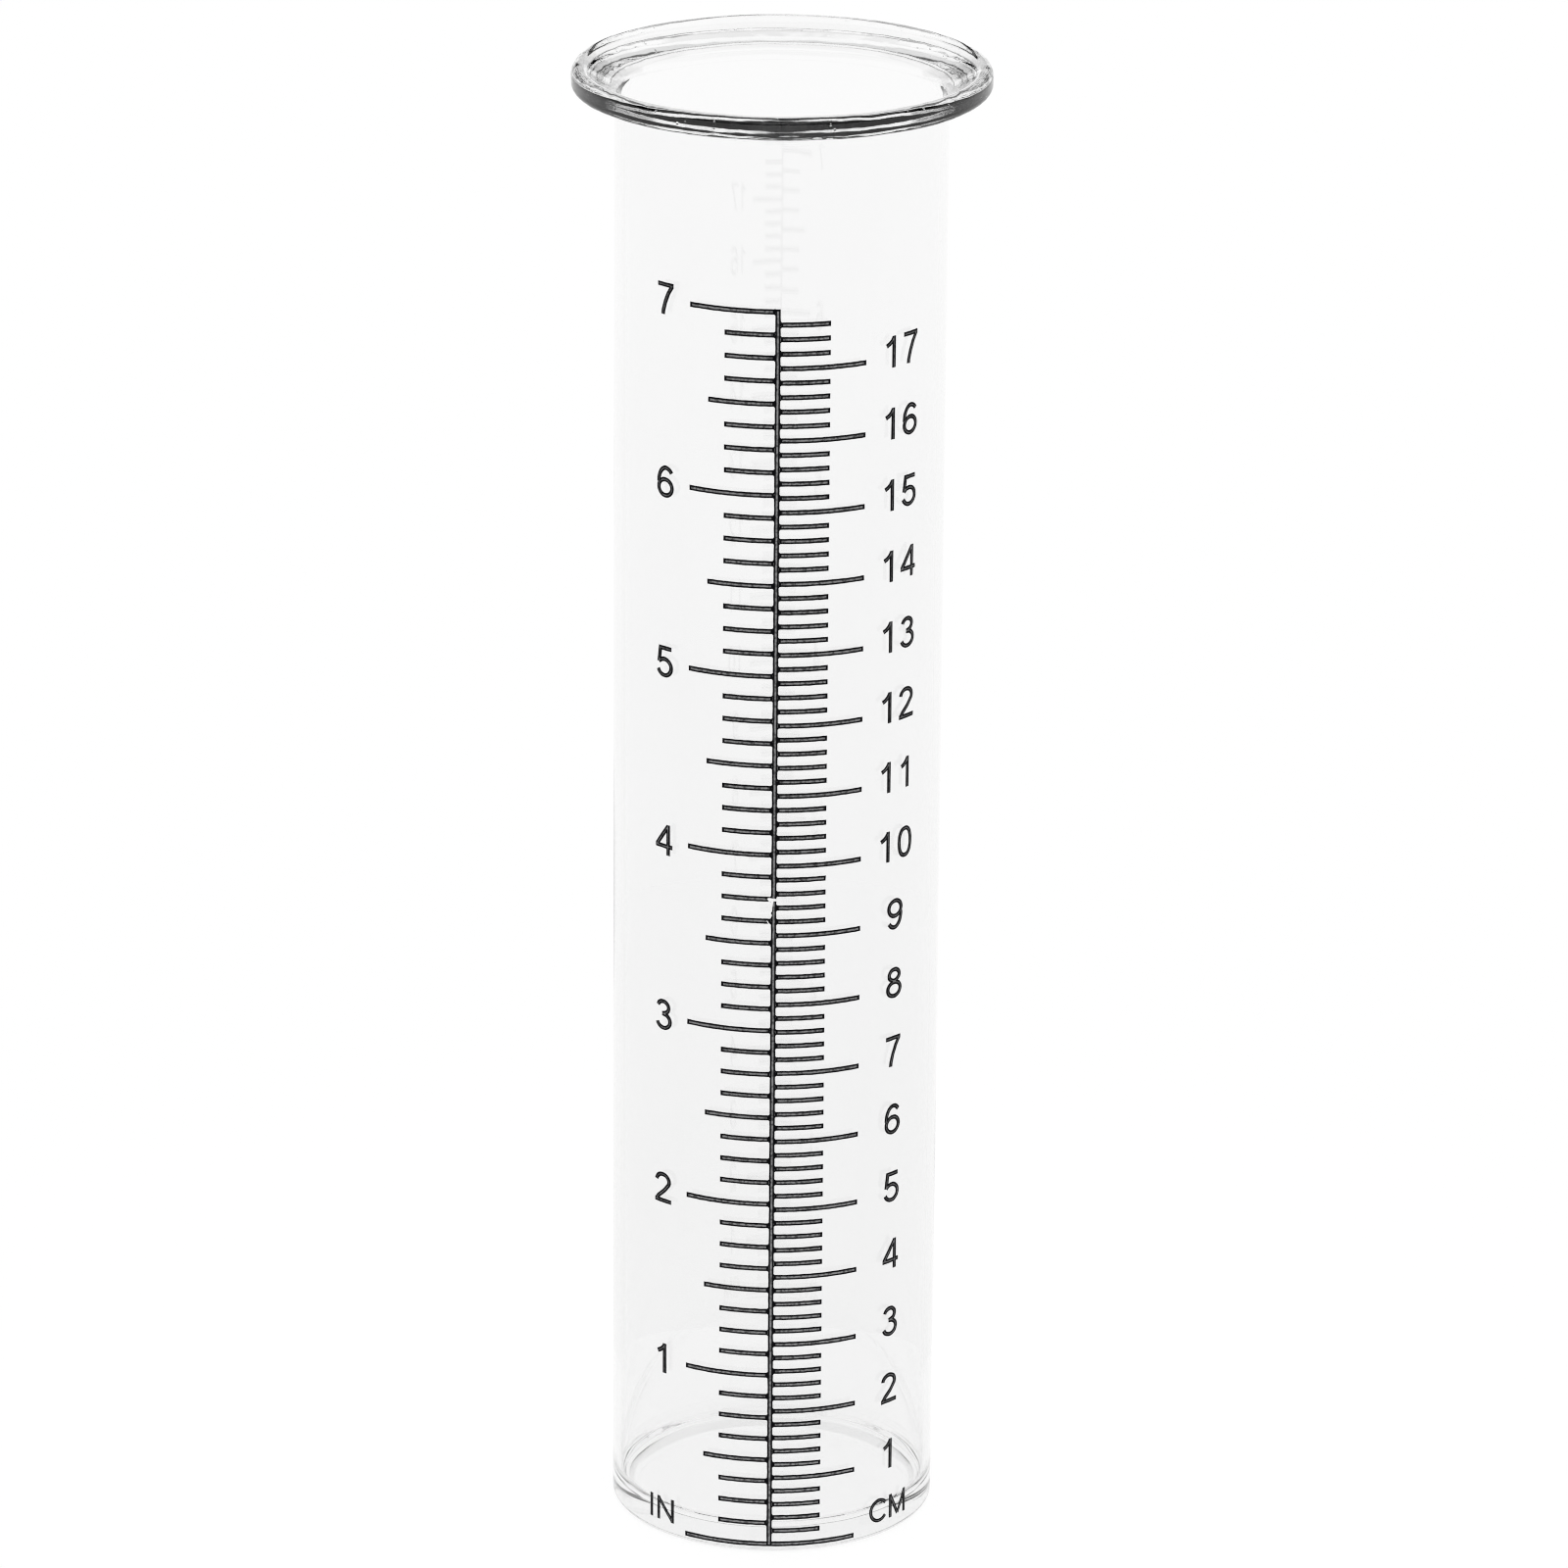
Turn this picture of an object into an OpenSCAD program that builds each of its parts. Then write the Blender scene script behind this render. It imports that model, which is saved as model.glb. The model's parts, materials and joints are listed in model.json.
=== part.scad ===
// Rain gauge tube: one piece of clear glass with a scale fired onto its outside.
// Origin at the centre of the foot, +Z up the tube, scale facing -Y. Millimetres.

/* [Tube] */
// Outside diameter of the straight wall
tube_d = 44.8; // [42:0.2:56]
// Thickness of the straight wall
wall_t = 1.2; // [1:0.1:2.2]
// Height from the foot to the top of the rim
overall_h = 207; // [200:1:240]
// Thickness of the flat bottom
bottom_t = 3; // [1.2:0.1:3.5]
// Radius of the outer corner at the foot
foot_round = 1; // [0.4:0.1:1]
// Radius of the inner corner round the flat bottom
well_round = 2.5; // [0.5:0.1:5]

/* [Rim] */
// How far the rim stands out from the wall
rim_reach = 5.8; // [5:0.1:6]
// Thickness of the rim, top to underside
rim_t = 3.2; // [3:0.1:4.4]
// Radius of the hollow corner under the rim
neck_round = 1.3; // [1:0.1:2]
// Slope of the funnel on top of the rim, in degrees from level
funnel_angle = 30; // [15:1:30]
// Radius over which the bore opens out into the funnel
mouth_round = 4; // [2:0.1:4]
// Radius of the rim's upper edge
lip_round = 1.2; // [0.8:0.1:1.4]
// Radius of the rim's lower edge
rim_round = 1; // [0.4:0.1:1.4]

/* [Scale] */
// Height of the zero line's middle above the foot
zero_h = 1.4; // [1.4:0.1:3]
// Whole inches on the scale
inches = 7; // [3:1:7]
// Thickness of every line
line_w = 0.65; // [0.4:0.05:0.7]
// Length of a whole inch or centimetre line, from the middle of the scale
whole_line = 12.3; // [11:0.1:13]
// Length of a half inch line
half_line = 9.5; // [8.5:0.1:10.5]
// Length of an eighth inch line
eighth_line = 7.2; // [6:0.1:8]
// Length of a two millimetre line
fifth_line = 7.1; // [6:0.1:8]
// Thickness of the fired enamel
ink_t = 0.05; // [0.03:0.01:0.1]

/* [Numerals] */
// Height of a numeral
digit_h = 4.4; // [3.6:0.1:5]
// Width of a numeral's stroke
digit_w = 0.55; // [0.35:0.05:0.6]
// Distance between two digits of one number
digit_pitch = 3.7; // [3.4:0.1:4.2]
// Distance round the wall from the scale's middle to the inch numerals
inch_digit_s = 16.4; // [15:0.1:17]
// Distance round the wall from the scale's middle to the centimetre numerals
cm_digit_s = 18.4; // [17.2:0.1:19.4]
// How far a centimetre numeral's middle stands above its line
cm_digit_lift = 0.75; // [0:0.05:1.5]

/* [Unit letters] */
// Height of a unit letter
letter_h = 3.5; // [3:0.1:4]
// Width of a unit letter's stroke
letter_w = 0.46; // [0.3:0.02:0.5]
// Height of the letters' feet above the middle of the zero line
letter_lift = 0.9; // [0.6:0.1:1.2]

/* [Hidden] */

$fn = 120;
// How far a cut runs past the face it opens
CUT_PAST = 1;

GLASS = [0.88, 0.93, 0.93, 0.35];
ENAMEL = [0.05, 0.05, 0.055];

tube_r = tube_d / 2;
bore_r = tube_r - wall_t;
rim_r = tube_r + rim_reach;
rim_z = overall_h - rim_t;
// Middles of the round corners of the rim's section, and the line square to the funnel
funnel_out = [-sin(funnel_angle), cos(funnel_angle)];
lip_c = [rim_r - lip_round, overall_h - lip_round];
rim_c = [rim_r - rim_round, rim_z + rim_round];
mouth_r = bore_r + mouth_round;
mouth_drop = (funnel_out.x * (lip_c.x - mouth_r) + lip_round - mouth_round) / funnel_out.y;
mouth_c = [mouth_r, lip_c.y + mouth_drop];

INCH = 25.4;
CM = 10;
HALVES = 2;
EIGHTHS = 8;
FIFTHS = 5;
scale_h = inches * INCH;
half_w = line_w / 2;
eighth_steps = inches * EIGHTHS;
half_steps = inches * HALVES;
fifth_steps = floor(scale_h * FIFTHS / CM);
cm_steps = floor(scale_h / CM);

// Where each unit letter's middle stands, as a distance round the wall from the scale's middle.
// Negative is to the left of someone reading the scale.
letter_i_s = -18.5;
letter_n_s = -15.8;
letter_c_s = 16.7;
letter_m_s = 20.45;

// Angle round the tube of a point at distance s round the wall from the scale's middle
function turn(s) = -90 + s * 180 / (PI * tube_r);

// ---- Strokes -------------------------------------------------------------------------------
// A glyph is a list of paths. A path is a list of points down the middle of one stroke, in
// glyph heights, from the middle of the glyph's foot. A path whose ends meet is a closed ring.

ARC_STEPS = 14;
RING_STEPS = 36;
ZERO_SQUARENESS = 2.35;

function arc_path(c, r, from, to) =
    [for (i = [0:ARC_STEPS]) let (a = from + (to - from) * i / ARC_STEPS)
        [c.x + r.x * cos(a), c.y + r.y * sin(a)]];

// An oval: power 2 is an ellipse, and a higher power has straighter sides
function bulge(v, power) = sign(v) * pow(abs(v), 2 / power);
function ring_path(c, r, power = 2) =
    [for (i = [0:RING_STEPS]) let (a = 360 * (i % RING_STEPS) / RING_STEPS)
        [c.x + r.x * bulge(cos(a), power), c.y + r.y * bulge(sin(a), power)]];

function unit(v) = v / norm(v);
function left_of(v) = [-v.y, v.x];
function is_ring(p) = norm(p[0] - p[len(p) - 1]) < 1e-6;

// Directions in and out of point i, and the offset that keeps the stroke's width round a bend
function dir_in(p, i) = i > 0 ? unit(p[i] - p[i - 1])
    : is_ring(p) ? unit(p[i] - p[len(p) - 2]) : unit(p[1] - p[0]);
function dir_out(p, i) = i < len(p) - 1 ? unit(p[i + 1] - p[i])
    : is_ring(p) ? unit(p[1] - p[0]) : unit(p[i] - p[i - 1]);
function bend_offset(a, b) = let (m = unit(left_of(a + b))) m / (m * left_of(a));
function side(p, distance) =
    [for (i = [0:len(p) - 1]) p[i] + distance * bend_offset(dir_in(p, i), dir_out(p, i))];
function without_last(p) = [for (i = [0:len(p) - 2]) p[i]];
function reversed(p) = [for (i = [len(p) - 1:-1:0]) p[i]];

// One stroke of width w along path p
module stroke(p, w) {
    if (is_ring(p)) {
        difference() {
            polygon(without_last(side(p, -w / 2)));
            polygon(without_last(side(p, w / 2)));
        }
    } else {
        polygon(concat(side(p, w / 2), reversed(side(p, -w / 2))));
    }
}

// A glyph of height h, its foot on the x axis and its middle on the y axis
module glyph(paths, h, w) {
    scale(h)
        for (p = paths)
            stroke(p, w / h);
}

// ---- Numerals and letters: plain single-width shapes ----------------------------------------

digit_low = digit_w / digit_h / 2;
digit_high = 1 - digit_low;
letter_low = letter_w / letter_h / 2;
letter_high = 1 - letter_low;

SIX = [
    arc_path([0.03, 0.5], [0.302, digit_high - 0.5], 42, 186),
    ring_path([0, 0.315], [0.272, 0.315 - digit_low])
];

DIGITS = [
    [ring_path([0, 0.5], [0.33 - digit_low, 0.5 - digit_low], ZERO_SQUARENESS)],
    [[[0.08, 0], [0.08, 1]],
     [[-0.21, 0.705], [-0.09, 0.765], [0.01, 0.85], [0.07, 0.94]]],
    [concat(arc_path([-0.02, 0.71], [0.265, digit_high - 0.71], 175, -25),
            [[0.04, 0.4], [-0.2, 0.19], [-0.29, digit_low]]),
     [[-0.35, digit_low], [0.33, digit_low]]],
    [concat(arc_path([-0.02, 0.745], [0.225, digit_high - 0.745], 168, -70), [[-0.06, 0.535]]),
     concat([[-0.06, 0.535]], arc_path([-0.01, 0.295], [0.272, 0.295 - digit_low], 72, -165))],
    [[[0.165, 0], [0.165, 1]],
     [[0.152, 0.95], [-0.31, 0.305]],
     [[-0.36, 0.29], [0.33, 0.29]]],
    [[[0.27, digit_high], [-0.185, digit_high], [-0.245, 0.475]],
     concat([[-0.245, 0.475]], arc_path([-0.015, 0.325], [0.277, 0.325 - digit_low], 140, -162))],
    SIX,
    [[[-0.33, digit_high], [0.31, digit_high]],
     [[0.262, 0.93], [0.1, 0.68], [-0.02, 0.4], [-0.1, 0.13], [-0.115, 0]]],
    [ring_path([0, 0.755], [0.225, digit_high - 0.755]),
     ring_path([0, 0.29], [0.275, 0.29 - digit_low])],
    [for (p = SIX) [for (q = p) [-q.x, 1 - q.y]]]
];

LETTER_I = [[[0, 0], [0, 1]]];
LETTER_N = [
    [[-0.367, 0], [-0.367, 1]],
    [[-0.367, letter_high], [0.367, letter_low]],
    [[0.367, 0], [0.367, 1]]
];
LETTER_C = [arc_path([0, 0.5], [0.43, 0.5 - letter_low], 38, 322)];
LETTER_M = [
    [[-0.43, 0], [-0.43, 1]],
    [[-0.43, letter_high], [0, letter_low]],
    [[0, letter_low], [0.43, letter_high]],
    [[0.43, 0], [0.43, 1]]
];

// ---- Enamel on the wall ---------------------------------------------------------------------

// A line: a patch of the enamel layer from s0 to s1 round the wall, centred on height z
module line_on_wall(s0, s1, z) {
    rotate([0, 0, turn(s0)])
        rotate_extrude(angle = turn(s1) - turn(s0))
            translate([tube_r, z - half_w])
                square([ink_t, line_w]);
}

// A line on the inch side, reaching len from the middle, and one on the centimetre side
module inch_side_line(reach, z) {
    line_on_wall(-reach, -half_w, z);
}
module cm_side_line(reach, z) {
    line_on_wall(half_w, reach, z);
}

// The enamel layer between two heights, all the way round
module enamel_layer(z0, z1) {
    translate([0, 0, z0])
        difference() {
            cylinder(h = z1 - z0, r = tube_r + ink_t);
            translate([0, 0, -CUT_PAST])
                cylinder(h = z1 - z0 + 2 * CUT_PAST, r = tube_r);
        }
}

// A glyph's outline as a block running out through the wall at distance s, its foot at height z
module glyph_block(paths, h, w, s, z) {
    rotate([0, 0, turn(s)])
        translate([0, 0, z])
            rotate([90, 0, 90])
                linear_extrude(height = rim_r)
                    glyph(paths, h, w);
}

// A glyph printed on the wall
module glyph_on_wall(paths, h, w, s, z) {
    intersection() {
        enamel_layer(z - h, z + 2 * h);
        glyph_block(paths, h, w, s, z);
    }
}

// A number from 1 to 99 printed with its middle at distance s and height z
module number_on_wall(n, s, z) {
    foot_z = z - digit_h / 2;
    if (n < 10) {
        glyph_on_wall(DIGITS[n], digit_h, digit_w, s, foot_z);
    } else {
        glyph_on_wall(DIGITS[floor(n / 10)], digit_h, digit_w, s - digit_pitch / 2, foot_z);
        glyph_on_wall(DIGITS[n % 10], digit_h, digit_w, s + digit_pitch / 2, foot_z);
    }
}

// ---- The glass ------------------------------------------------------------------------------

// Half section of the solid outside, before the bore
module outer_section() {
    // wall down to the foot, with its rounded corner
    translate([0, foot_round])
        square([tube_r, lip_c.y - foot_round]);
    square([tube_r - foot_round, foot_round]);
    translate([tube_r - foot_round, foot_round])
        intersection() {
            circle(foot_round);
            translate([0, -foot_round])
                square(foot_round);
        }
    // rim with its two round edges
    translate([0, rim_c.y])
        square([rim_r, lip_c.y - rim_c.y]);
    translate([0, rim_z])
        square([rim_c.x, rim_round]);
    translate([0, rim_c.y])
        square([lip_c.x, overall_h - rim_c.y]);
    translate(rim_c)
        circle(rim_round);
    translate(lip_c)
        circle(lip_round);
    // hollow corner between the wall and the rim's underside
    translate([tube_r, rim_z - neck_round])
        difference() {
            square(neck_round);
            translate([neck_round, 0])
                circle(neck_round);
        }
}

// Half section of the space inside: rounded well, straight bore, funnel
module bore_section() {
    translate([0, bottom_t + well_round])
        square([bore_r, mouth_c.y - bottom_t - well_round]);
    translate([0, bottom_t])
        square([bore_r - well_round, well_round]);
    translate([bore_r - well_round, bottom_t + well_round])
        intersection() {
            circle(well_round);
            translate([0, -well_round])
                square(well_round);
        }
    difference() {
        polygon([[0, mouth_c.y], mouth_c, mouth_c + mouth_round * funnel_out,
                 lip_c + lip_round * funnel_out, lip_c,
                 [lip_c.x, overall_h + CUT_PAST], [0, overall_h + CUT_PAST]]);
        translate(mouth_c)
            circle(mouth_round);
        translate(lip_c)
            circle(lip_round);
    }
}

module glass_tube() {
    color(GLASS)
        rotate_extrude()
            difference() {
                outer_section();
                bore_section();
            }
}

// ---- The scale ------------------------------------------------------------------------------

// Upright line down the middle, from the zero line's underside to the top line's upper edge
module scale_spine() {
    color(ENAMEL)
        rotate([0, 0, turn(-half_w)])
            rotate_extrude(angle = turn(half_w) - turn(-half_w))
                translate([tube_r, zero_h - half_w])
                    square([ink_t, scale_h + line_w]);
}

module zero_line() {
    color(ENAMEL) {
        inch_side_line(whole_line, zero_h);
        cm_side_line(whole_line, zero_h);
    }
}

module inch_lines() {
    color(ENAMEL)
        for (i = [1:inches])
            inch_side_line(whole_line, zero_h + i * INCH);
}

module half_inch_lines() {
    color(ENAMEL)
        for (i = [1:2:half_steps - 1])
            inch_side_line(half_line, zero_h + i * INCH / HALVES);
}

module eighth_inch_lines() {
    color(ENAMEL)
        for (i = [1:eighth_steps - 1])
            if (i % (EIGHTHS / HALVES) != 0)
                inch_side_line(eighth_line, zero_h + i * INCH / EIGHTHS);
}

module centimetre_lines() {
    color(ENAMEL)
        for (i = [1:cm_steps])
            cm_side_line(whole_line, zero_h + i * CM);
}

module two_millimetre_lines() {
    color(ENAMEL)
        for (i = [1:fifth_steps])
            if (i % FIFTHS != 0)
                cm_side_line(fifth_line, zero_h + i * CM / FIFTHS);
}

module inch_numerals() {
    color(ENAMEL)
        for (i = [1:inches])
            number_on_wall(i, -inch_digit_s, zero_h + i * INCH);
}

module centimetre_numerals() {
    color(ENAMEL)
        for (i = [1:cm_steps])
            number_on_wall(i, cm_digit_s, zero_h + i * CM + cm_digit_lift);
}

module inch_unit_letters() {
    color(ENAMEL) {
        glyph_on_wall(LETTER_I, letter_h, letter_w, letter_i_s, zero_h + letter_lift);
        glyph_on_wall(LETTER_N, letter_h, letter_w, letter_n_s, zero_h + letter_lift);
    }
}

module centimetre_unit_letters() {
    color(ENAMEL) {
        glyph_on_wall(LETTER_C, letter_h, letter_w, letter_c_s, zero_h + letter_lift);
        glyph_on_wall(LETTER_M, letter_h, letter_w, letter_m_s, zero_h + letter_lift);
    }
}

glass_tube();
scale_spine();
zero_line();
inch_lines();
half_inch_lines();
eighth_inch_lines();
centimetre_lines();
two_millimetre_lines();
inch_numerals();
centimetre_numerals();
inch_unit_letters();
centimetre_unit_letters();
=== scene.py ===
import json
import math

import bpy
import numpy as np
from mathutils import Matrix, Vector, noise
from mathutils.geometry import delaunay_2d_cdt


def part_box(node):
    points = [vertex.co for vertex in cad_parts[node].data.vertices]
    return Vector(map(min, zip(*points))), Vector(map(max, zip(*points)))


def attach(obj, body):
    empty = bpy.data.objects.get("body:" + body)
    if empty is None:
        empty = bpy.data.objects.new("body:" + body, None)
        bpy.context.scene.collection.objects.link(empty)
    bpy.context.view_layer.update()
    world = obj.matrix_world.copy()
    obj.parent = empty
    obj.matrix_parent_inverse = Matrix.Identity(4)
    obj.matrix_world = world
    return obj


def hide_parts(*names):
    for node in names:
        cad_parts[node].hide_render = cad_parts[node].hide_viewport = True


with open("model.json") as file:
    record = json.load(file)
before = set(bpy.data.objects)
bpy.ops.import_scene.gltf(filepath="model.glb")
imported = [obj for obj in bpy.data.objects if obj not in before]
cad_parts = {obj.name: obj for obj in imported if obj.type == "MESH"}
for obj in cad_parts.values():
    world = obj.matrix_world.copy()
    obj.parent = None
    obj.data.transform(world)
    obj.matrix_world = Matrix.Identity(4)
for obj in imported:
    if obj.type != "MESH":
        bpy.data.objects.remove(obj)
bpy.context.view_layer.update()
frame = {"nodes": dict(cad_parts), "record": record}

MM = 0.001

# ---- Sizes, all in millimetres, most read from the imported frame and the rest given -----------

mounts = {m["name"]: m for m in frame["record"]["mounts"]}


def span(mount):
    """The lowest and highest point of a round mount that stands upright."""
    middle = mount["pos_m"][2] / MM
    half = mount["dims"]["length_mm"] / 2
    return middle - half, middle + half


def node_points(node):
    """Distance from the axis and height of each of a CAD node's vertices."""
    co = np.array([v.co for v in frame["nodes"][node].data.vertices]) / MM
    return np.hypot(co[:, 0], co[:, 1]), co[:, 2]


WALL_R = mounts["outside_wall"]["dims"]["r_mm"]
BORE_R = mounts["mouth"]["dims"]["r_mm"]
RIM_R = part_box("glass_tube")[1].x / MM
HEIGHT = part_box("glass_tube")[1].z / MM

wall_low, wall_high = span(mounts["outside_wall"])
bore_low, _ = span(mounts["mouth"])
glass_r, glass_z = node_points("glass_tube")

# How far a point has to be from the outside to count as inside the tube.
CLEARANCE = 0.1
FOOT_ROUND = wall_low
MOUTH_ROUND = 4.0
LIP_ROUND = 1.2
RIM_ROUND = 1.0
FUNNEL_ANGLE = 30
RIM_Z = glass_z[glass_r > (WALL_R + RIM_R) / 2].min()
NECK_ROUND = RIM_Z - wall_high
FLOOR_Z = glass_z[(glass_r < BORE_R - CLEARANCE) & (glass_z > CLEARANCE)].min()
WELL_ROUND = bore_low - FLOOR_Z

# How thick the print is.
INK_T = node_points("scale_spine")[0].max() - WALL_R


def heights(node):
    """A CAD node's lowest and highest point."""
    low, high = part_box(node)
    return low.z / MM, high.z / MM


zero_low, zero_high = heights("zero_line")
LINE_W = zero_high - zero_low
ZERO_Z = (zero_low + zero_high) / 2
TOP_Z = heights("scale_spine")[1] - LINE_W / 2
INCH = 25.4
CM = 10.0
INCHES = round((TOP_Z - ZERO_Z) / INCH)
CENTIMETRES = int((TOP_Z - ZERO_Z) / CM)


# ---- Mesh helpers ----------------------------------------------------------------------------


def new_piece(name, points_mm, faces, material, smooth=True):
    """A mesh object from points in millimetres."""
    mesh = bpy.data.meshes.new(name)
    mesh.from_pydata([Vector(p) * MM for p in points_mm], [], faces)
    mesh.validate()
    if smooth:
        mesh.polygons.foreach_set("use_smooth", [True] * len(mesh.polygons))
    mesh.materials.append(material)
    mesh.update()
    piece = bpy.data.objects.new(name, mesh)
    bpy.context.scene.collection.objects.link(piece)
    return piece


def arc(centre, radius, start, end, steps):
    """Points (radius, height) along an arc of the section, angles in degrees."""
    turns = [math.radians(start + (end - start) * i / steps) for i in range(steps + 1)]
    return [(centre[0] + radius * math.cos(t), centre[1] + radius * math.sin(t)) for t in turns]


def line(a, b, steps):
    """Points from a to b, leaving out both ends."""
    shares = [i / steps for i in range(1, steps)]
    return [(a[0] + (b[0] - a[0]) * share, a[1] + (b[1] - a[1]) * share) for share in shares]


# ---- Materials -------------------------------------------------------------------------------


class Nodes:
    """A node tree under construction."""

    def __init__(self, owner):
        owner.use_nodes = True
        self.tree = owner.node_tree
        self.tree.nodes.clear()

    def add(self, kind, inputs=None, **settings):
        """A node with its inputs linked or set."""
        node = self.tree.nodes.new(kind)
        for key, value in settings.items():
            setattr(node, key, value)
        for key, value in (inputs or {}).items():
            if isinstance(value, bpy.types.NodeSocket):
                self.tree.links.new(value, node.inputs[key])
            else:
                node.inputs[key].default_value = value
        return node

    def math(self, operation, *values):
        """The result of arithmetic on one or more values."""
        return self.add("ShaderNodeMath", dict(enumerate(values)), operation=operation).outputs[0]

    def mapped(self, value, low, high, to_low, to_high):
        """A value mapped from one range to another."""
        return self.add("ShaderNodeMapRange", {"Value": value, "From Min": low, "From Max": high,
                                               "To Min": to_low, "To Max": to_high}).outputs[0]

    def noise(self, place, scale, detail, **inputs):
        """Smooth noise at a point, between 0 and 1."""
        inputs.update({"Vector": place, "Scale": scale, "Detail": detail})
        return self.add("ShaderNodeTexNoise", inputs).outputs["Fac"]

    def bump(self, height, depth_mm, normal=None, strength=1.0):
        """A normal for a relief of the given depth, on top of another normal."""
        inputs = {"Height": height, "Strength": strength, "Distance": depth_mm * MM}
        if normal:
            inputs["Normal"] = normal
        return self.add("ShaderNodeBump", inputs).outputs[0]

    def finish(self, inputs):
        """Ends a material with one principled shader."""
        shader = self.add("ShaderNodeBsdfPrincipled", inputs)
        self.add("ShaderNodeOutputMaterial", {"Surface": shader.outputs[0]})


# How much light the outside of the wall lets through at the foot and at the top, and the rim.
# The foot's grey is painted shade, and the paler rim is painted light.
FOOT_CLEAR_SHADED = 0.875
CLEAR_HIGH = 0.945
RIM_CLEAR_LIT = 0.972
GLASS_INDEX = 1.5
# Marks in the glass. A scale is in cycles a metre, and a depth is in millimetres.
DRAW_SCALE = (420, 420, 9)
DRAW_DEPTH = 0.0012
RIPPLE_SCALE = 520.0
RIPPLE_DEPTH = 0.01
RIPPLE_TWIST = 1.2
SEED_SCALE = 560.0
SEED_DEPTH = 0.03
COMB_SCALE = 90.0
COMB_DEPTH = 0.03
COMB_TWIST = 1.5
COMB_AT = (9.0, -26.7, 204.5)
COMB_REACH = 6.0
SMUDGE_SCALE = 38.0
SMUDGE_TINT = 0.984
SMUDGE_ROUGHNESS = 0.03
# Spans of a pattern's value over which something grows from nothing to its full effect.
NOISE_SPAN = (0.3, 0.7)
SEED_SPAN = (0.03, 0.12)
SMUDGE_SPAN = (0.55, 0.8)


def glass_material():
    """Clear glass with faint draw lines up the wall, smudges, and ripples, seeds and combed marks
    in the rim. Only the outside of the wall is tinted, so the wall's edge is as grey as its middle.
    The tint is painted shade that deepens towards the foot, and painted light makes the rim paler.
    """
    mat = bpy.data.materials.new("clear_glass")
    n = Nodes(mat)
    place = n.add("ShaderNodeTexCoord").outputs["Object"]
    height = n.add("ShaderNodeSeparateXYZ", {0: place}).outputs["Z"]
    rim = n.mapped(height, (RIM_Z - NECK_ROUND) * MM, (RIM_Z + RIM_ROUND) * MM, 0, 1)
    stretched = n.add("ShaderNodeMapping", {"Vector": place, "Scale": DRAW_SCALE}).outputs[0]
    drawn = n.noise(stretched, 1.0, 3.0)
    ripple = n.noise(place, RIPPLE_SCALE, 2.0, Distortion=RIPPLE_TWIST)
    seed_gap = n.add("ShaderNodeTexVoronoi", {"Vector": place, "Scale": SEED_SCALE}).outputs["Distance"]
    seeds = n.mapped(seed_gap, *SEED_SPAN, 1, 0)
    combing = n.add("ShaderNodeTexWave", {"Vector": place, "Scale": COMB_SCALE, "Distortion": COMB_TWIST},
                    bands_direction="DIAGONAL").outputs["Fac"]
    spread = n.add("ShaderNodeVectorMath", {0: place, 1: Vector(COMB_AT) * MM},
                   operation="DISTANCE").outputs["Value"]
    combing = n.math("MULTIPLY", combing, n.mapped(spread, COMB_REACH * MM / 2, COMB_REACH * MM, 1, 0))
    smudge = n.noise(place, SMUDGE_SCALE, 5.0)
    normal = n.bump(drawn, DRAW_DEPTH)
    normal = n.bump(n.math("MULTIPLY", ripple, rim), RIPPLE_DEPTH, normal)
    normal = n.bump(n.math("MULTIPLY", seeds, rim), SEED_DEPTH, normal)
    normal = n.bump(combing, COMB_DEPTH, normal)
    # Painted shade: the outside of the wall is greyer towards the foot.
    clear = n.mapped(height, 0, HEIGHT * MM, FOOT_CLEAR_SHADED, CLEAR_HIGH)
    clear = n.math("MULTIPLY", clear, n.mapped(smudge, *NOISE_SPAN, 1.0, SMUDGE_TINT))
    level = n.add("ShaderNodeVectorMath", {0: place, 1: (1, 1, 0)}, operation="MULTIPLY").outputs[0]
    inward = n.add("ShaderNodeVectorMath", {0: level}, operation="LENGTH").outputs["Value"]
    clear = n.math("MAXIMUM", clear, n.math("LESS_THAN", inward, (BORE_R + WALL_R) / 2 * MM))
    # Painted light: the rim is paler than the wall below it.
    clear = n.math("MAXIMUM", clear, n.math("MULTIPLY", rim, RIM_CLEAR_LIT))
    n.finish({
        "Base Color": n.add("ShaderNodeCombineColor", {0: clear, 1: clear, 2: clear}).outputs[0],
        "Roughness": n.mapped(smudge, *SMUDGE_SPAN, 0.0, SMUDGE_ROUGHNESS),
        "IOR": GLASS_INDEX,
        "Transmission Weight": 1.0,
        "Normal": normal,
    })
    return mat


ENAMEL_BLACK = (0.003, 0.003, 0.004, 1)
ENAMEL_SHEEN_GREY = (0.27, 0.27, 0.274, 1)
MOTTLE_SCALE = 2600.0
MOTTLE_DEPTH = 0.01
MOTTLE_STRENGTH = 0.25
PATCH_SCALE = 420.0
# Where the painted sheen in the middle of a stroke begins and is complete, as values of the point attribute
# that marks the middles.
SHEEN_SPAN = (0.6, 0.95)
MOTTLE_SPAN = (0.35, 0.65)
# What the mottle and the patches do, from one end of their span to the other.
MOTTLE_SHEEN = (0.25, 1.5)
PATCH_SHEEN = (0.7, 1.2)
PATCH_ROUGHNESS = (0.38, 0.6)
CORE_SHINE = (0.03, 0.15)


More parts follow.
